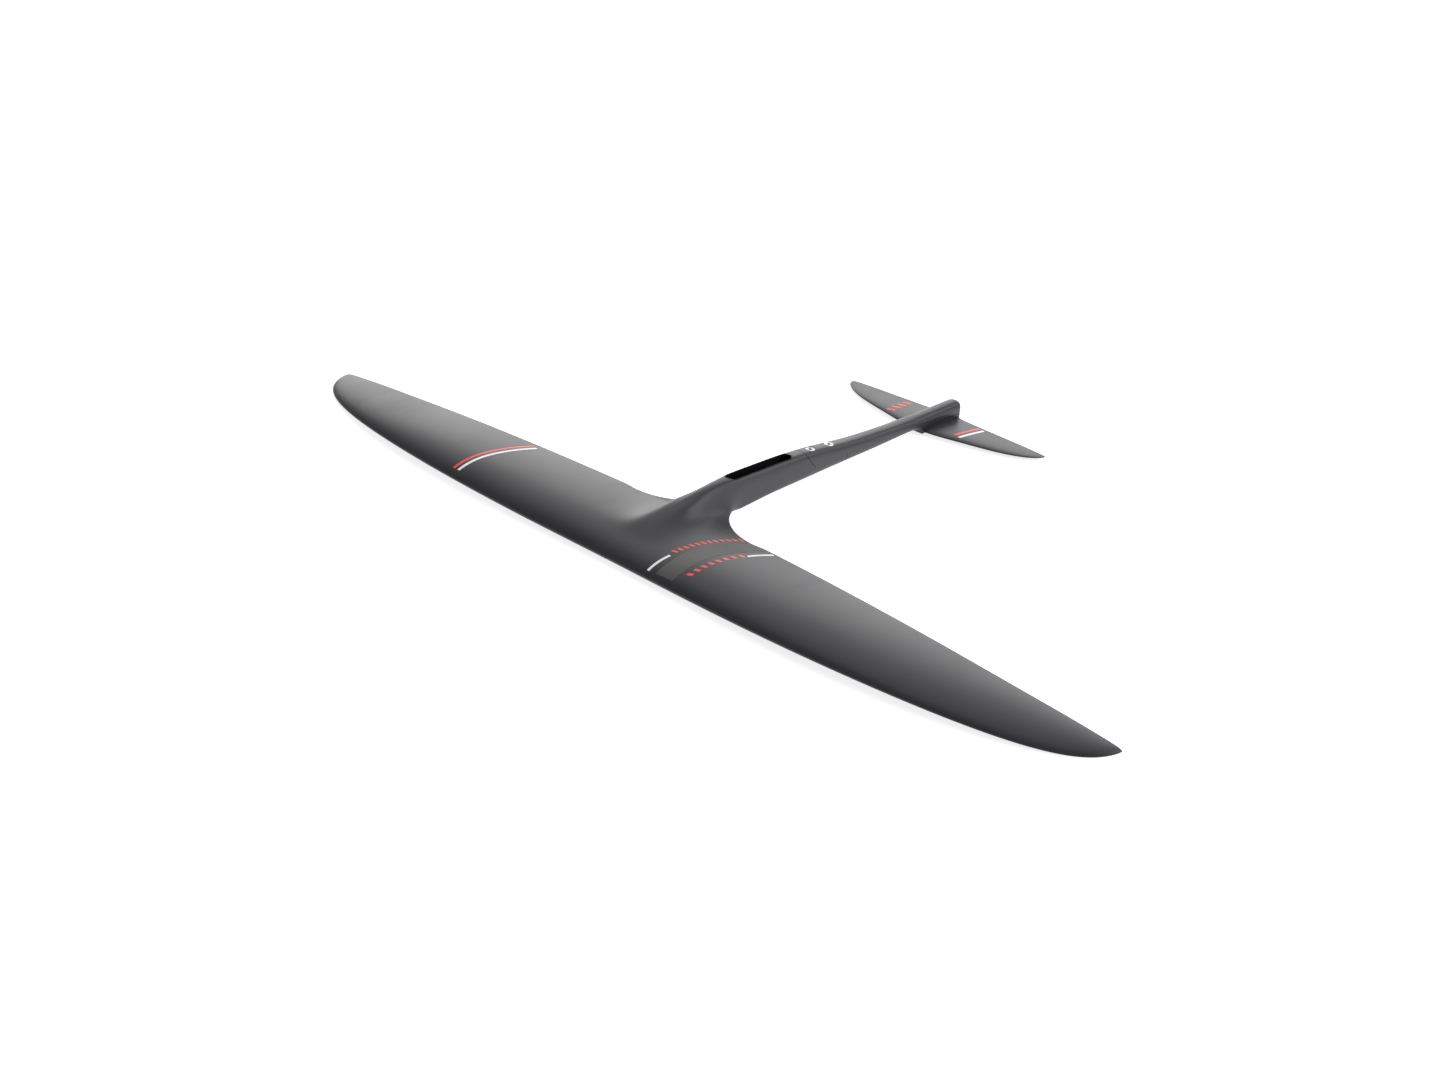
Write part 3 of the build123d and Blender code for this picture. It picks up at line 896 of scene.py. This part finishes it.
def tailBoom():
    bm = bmesh.new()
    lines = boom["lines"] + boom["endLines"]
    for side in (1, -1):
        sheet(bm, lines, boom["acrossLines"], lambda line, across: boomPoint(line, across, side))
    mirrorHalf(bm)
    closeShell(bm)
    tools = [lapTool(lap["seam"], lap["beforeStart"])]
    size = screws["boom"]
    for y, top in zip(size["y"], size["headTop"]):
        neck = top - size["headHeight"]
        rim = size["head"] + size["chamfer"]
        profile = [(0, size["low"]), (size["shaft"], size["low"]), (size["shaft"], neck)]
        profile += [(size["head"], top), (rim, top + size["chamfer"])]
        profile += [(rim, size["high"]), (0, size["high"])]
        tools.append(turnedTool(profile, y))
    tail = screws["tail"]
    for y in screws["stabiliser"]["y"]:
        tools.append(holeTool(y, tail["radius"], tail["low"], tail["high"]))
    bm = cutShape(bm, tools)
    made = meshObject("tail_boom_shell", bm, "tail_boom", [materials["coat"]])
    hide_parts("boom_shell")


tailBoom()
print("tail boom made")

stabiliser = {"spanLines": 90, "chordLines": 36}
tailPad = {"halfWidth": 10.8, "startY": 538.0, "endY": 621.8, "z": (-5.4, 1.0)}


def stabiliserPoint(line, across, side):
    x = tailWing["halfSpan"] * cos(line / stabiliser["spanLines"] * pi / 2)
    _, leadY, _, trailY, _ = foilStation(tailWing, x)
    y = mix(leadY, trailY, 1 - cos(across * pi / 2))
    return x, y, foilHeight(tailWing, x, y, side)


def stabiliserPiece():
    bm = bmesh.new()
    lines, acrossLines = stabiliser["spanLines"], stabiliser["chordLines"]
    for side in (1, -1):
        sheet(bm, lines, acrossLines, lambda line, across: stabiliserPoint(line, across, side))
    rimStrip(bm, lines, stabiliserPoint)
    mirrorHalf(bm)
    closeShell(bm)
    # The pad is round behind and cut square in front
    foreY = tailPad["startY"] - tailPad["halfWidth"]
    middle = (foreY + tailPad["endY"]) / 2
    pad = slotTool(tailPad["endY"] - foreY, 2 * tailPad["halfWidth"], middle, *tailPad["z"])
    bmesh.ops.bisect_plane(
        pad,
        geom=pad.verts[:] + pad.edges[:] + pad.faces[:],
        plane_co=toFrame(0, tailPad["startY"], 0),
        plane_no=(0, -1, 0),
        clear_outer=True,
    )
    closeShell(pad)
    bm = cutShape(bm, [pad], "UNION")
    tools = []
    size = screws["stabiliser"]
    radius, top = size["ferrule"]
    for y in size["y"]:
        tools.append(steppedTool(y, radius, size["low"], top, size["shaft"], size["high"]))
    bm = cutShape(bm, tools)
    made = meshObject("stabiliser_moulding", bm, "stabiliser", [materials["coat"]])
    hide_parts("stabiliser_upper_skin", "stabiliser_lower_skin")
    return made


tailPiece = stabiliserPiece()
print("stabiliser made")


# Printed marks, laid on the surface as thin closed strips
marks = {
    "proud": 0.12,
    "sunk": 0.08,
    "step": 1.0,
    "margin": 3.5,  # how far the ink stays from the trailing edge
    "slant": 0.35,
    "tickShare": 0.45,
    "lookFrom": 200.0,
    "lookAhead": 0.2,
}


def topOf(host, x, y):
    start = toFrame(x, y, marks["lookFrom"])
    hit, place, _, _ = host.ray_cast(start, Vector((0, 0, -1)))
    return place.z / mm + mastPlace["z"] if hit else 0.0


def planRoute(points):
    lengths = [0.0]
    for a, b in zip(points, points[1:]):
        lengths.append(lengths[-1] + hypot(b[0] - a[0], b[1] - a[1]))
    xAt = smoothRow(lengths, [point[0] for point in points])
    yAt = smoothRow(lengths, [point[1] for point in points])
    return (lambda along: (xAt(along), yAt(along))), lengths[-1]


def addStrip(bm, host, foil, placeAt, width, start, end, slants, shift):
    # A strip of that width along a route in plan, from start to end; slants lean its two ends
    lineCount = max(2, round((end - start) / marks["step"]))
    half = max(2, round(width / marks["step"]))
    steps = 2 * half + 2  # over the top and back along the underside

    def stripPoint(line, across):
        step = round(across * steps) % steps
        onTop = step <= half
        over = (step if onTop else steps - 1 - step) / half
        lift = marks["proud"] if onTop else -marks["sunk"]
        offset = (over - 0.5) * width
        slant = mix(*slants, line / lineCount)
        along = mix(start, end, line / lineCount) + slant * offset
        offset += shift
        backX, backY = placeAt(along - marks["lookAhead"])
        aheadX, aheadY = placeAt(along + marks["lookAhead"])
        size = hypot(aheadX - backX, aheadY - backY)
        x, y = placeAt(along)
        x, y = x + offset * (aheadY - backY) / size, y - offset * (aheadX - backX) / size
        y = min(y, foilStation(foil, x)[3] - marks["margin"])
        return x, y, topOf(host, x, y) + lift

    part = bmesh.new()
    sheet(part, lineCount, steps, stripPoint)
    closeShell(part, fineWeld)
    mesh = bpy.data.meshes.new("strip")
    part.to_mesh(mesh)
    part.free()
    bm.from_mesh(mesh)
    bpy.data.meshes.remove(mesh)


starboardArc = [(-265.6, 8.5), (-265.0, 33.5), (-261.0, 66.0), (-254.0, 99.0), (-249.0, 118.0)]
wingMarks = [
    {
        "name": "port_front_dash",
        "ink": "white",
        "route": [(59.5, 5.5), (60.0, 21.0), (61.5, 36.5)],
        "width": 3.4,
    },
    {
        "name": "port_rear_dash",
        "ink": "white",
        "route": [(117.0, 101.5), (122.3, 118.0), (127.8, 132.0)],
        "width": 3.4,
    },
    {
        "name": "port_band",
        "ink": "band",
        "route": [(83.0, 6.5), (82.5, 36.0), (83.5, 66.0), (92.0, 102.0), (108.0, 140.0)],
        "width": 25.0,
        "span": (0.0, 0.93),
        "slants": (0.0, 0.42),
    },
    {
        "name": "port_inner_ticks",
        "ink": "red",
        "route": [(59.5, 42.0), (62.0, 68.0), (69.5, 103.0), (81.0, 135.0)],
        "width": 6.4,
        "ticks": 12,
    },
    {
        "name": "port_outer_ticks",
        "ink": "red",
        "route": [(105.0, 19.0), (105.5, 45.0), (108.5, 75.0), (114.5, 101.0)],
        "width": 6.4,
        "ticks": 8,
    },
    {"name": "starboard_red_arc", "ink": "red", "route": starboardArc, "width": 4.0, "beside": -4.0},
    {"name": "starboard_white_arc", "ink": "white", "route": starboardArc, "width": 4.0, "beside": 4.0},
]
tailStripe = [(51.0, 557.0), (57.5, 600.0)]
tailMarks = [
    {
        "name": "stabiliser_ticks",
        "ink": "red",
        "route": [(-57.0, 553.0), (-58.5, 598.0)],
        "width": 11.0,
        "ticks": 4,
    },
    {"name": "stabiliser_red_stripe", "ink": "red", "route": tailStripe, "width": 4.0, "beside": -4.0},
    {"name": "stabiliser_white_stripe", "ink": "white", "route": tailStripe, "width": 4.0, "beside": 4.0},
]


def layMarks(host, foil, body, rows):
    for row in rows:
        placeAt, length = planRoute(row["route"])
        bm = bmesh.new()
        low, high = row.get("span", (0.0, 1.0))
        count = row.get("ticks", 1)
        pitch = length * (high - low) / count
        inked, slants = 1.0, row.get("slants", (0.0, 0.0))
        if count > 1:
            inked, slants = marks["tickShare"], (marks["slant"], marks["slant"])
        shift = row.get("beside", 0.0)
        for i in range(count):
            start = length * low + (i + (1 - inked) / 2) * pitch
            stop = start + inked * pitch
            addStrip(bm, host, foil, placeAt, row["width"], start, stop, slants, shift)
        made = meshObject(row["name"], bm, body, [materials[row["ink"]]])


layMarks(frontPiece, frontWing, "front_wing", wingMarks)
layMarks(tailPiece, tailWing, "stabiliser", tailMarks)
print("marks laid")

# Floor, light and camera
studio = {
    "floor": 30.0,
    "floorDrop": 0.0002,
    "floorColour": (0.92, 0.92, 0.92),
    "fibreColour": (0.94, 0.94, 0.94),
    "floorGlow": 0.8,
    "skySeen": (1.0, 1.0, 1.0),
    "skyLight": 0.30,
    "cameraPlace": (1.4767, -1.6704, 1.0722),
    "cameraTurn": (62.787, -2.602, 43.859),
    "lens": 52.77,
    "sensor": 36.0,
}
lights = {
    "backSoftbox": {
        "place": (-2.2, 2.8, 0.95),
        "aim": (0.0, 0.0, 0.0),
        "size": (5.0, 1.8),
        "power": 68.0,
    },
    "overheadSoftbox": {
        "place": (-1.2, 1.4, 3.2),
        "aim": (0.0, 0.1, 0.0),
        "size": (3.0, 3.0),
        "power": 22.0,
    },
    "aftSoftbox": {
        "place": (1.6, 2.5, 2.2),
        "aim": (0.0, 0.1, 0.0),
        "size": (2.0, 1.6),
        "power": 30.0,
    },
    "sideFill": {
        "place": (3.0, 1.2, 1.0),
        "aim": (0.0, 0.1, 0.0),
        "size": (2.6, 1.6),
        "power": 26.0,
    },
}


def floorMaterial():
    material, tree, shader, place = startMaterial("paperFloor", 0.9, Specular_IOR_Level=0.1)
    fibres = addNoise(tree, place, 30.0, 3.0)
    colour = mixColour(tree, fibres, studio["floorColour"], studio["fibreColour"])
    tree.links.new(colour, shader.inputs["Base Color"])
    tree.links.new(colour, shader.inputs["Emission Color"])
    shader.inputs["Emission Strength"].default_value = studio["floorGlow"]
    # Seen from below the floor is clear, so the underside can be looked at
    below = addNode(tree, "NewGeometry").outputs["Backfacing"]
    clear = addNode(tree, "BsdfTransparent").outputs[0]
    shown = addNode(tree, "MixShader", {0: below, 1: shader.outputs[0], 2: clear})
    tree.links.new(shown.outputs[0], tree.nodes["Material Output"].inputs["Surface"])
    return material


def makeStudio():
    low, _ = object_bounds()
    bm = bmesh.new()
    bmesh.ops.create_grid(bm, x_segments=4, y_segments=4, size=studio["floor"] / 2)
    bmesh.ops.translate(bm, vec=(0, 0, low.z - studio["floorDrop"]), verts=bm.verts)
    meshObject("floor", bm, None, [floorMaterial()])
    for name, values in lights.items():
        light = bpy.data.lights.new(name, "AREA")
        light.shape, light.size, light.size_y = "RECTANGLE", *values["size"]
        light.energy = values["power"]
        lamp = bpy.data.objects.new(name, light)
        lamp.location = values["place"]
        aim = Vector(values["aim"]) - Vector(values["place"])
        lamp.rotation_euler = aim.to_track_quat("-Z", "Y").to_euler()
        lamp.visible_camera = False
        bpy.context.scene.collection.objects.link(lamp)
    world = bpy.data.worlds.new("studioSky")
    world.use_nodes = True
    tree = world.node_tree
    lit = tree.nodes["Background"]
    lit.inputs["Color"].default_value = (1, 1, 1, 1)
    lit.inputs["Strength"].default_value = studio["skyLight"]
    seen = addNode(tree, "Background", {"Color": (*studio["skySeen"], 1.0)})
    byCamera = addNode(tree, "LightPath").outputs["Is Camera Ray"]
    blend = addNode(tree, "MixShader", {0: byCamera, 1: lit.outputs[0], 2: seen.outputs[0]})
    tree.links.new(blend.outputs[0], tree.nodes["World Output"].inputs["Surface"])
    bpy.context.scene.world = world
    bpy.context.scene.view_settings.view_transform = "Standard"


def makeCamera():
    lens = bpy.data.cameras.new("camera")
    lens.lens, lens.sensor_width = studio["lens"], studio["sensor"]
    lens.clip_start, lens.clip_end = 0.01, 60.0
    camera = bpy.data.objects.new("camera", lens)
    camera.location = studio["cameraPlace"]
    camera.rotation_euler = [radians(turn) for turn in studio["cameraTurn"]]
    bpy.context.scene.collection.objects.link(camera)
    bpy.context.scene.camera = camera


makeStudio()
makeCamera()
print("studio lit")
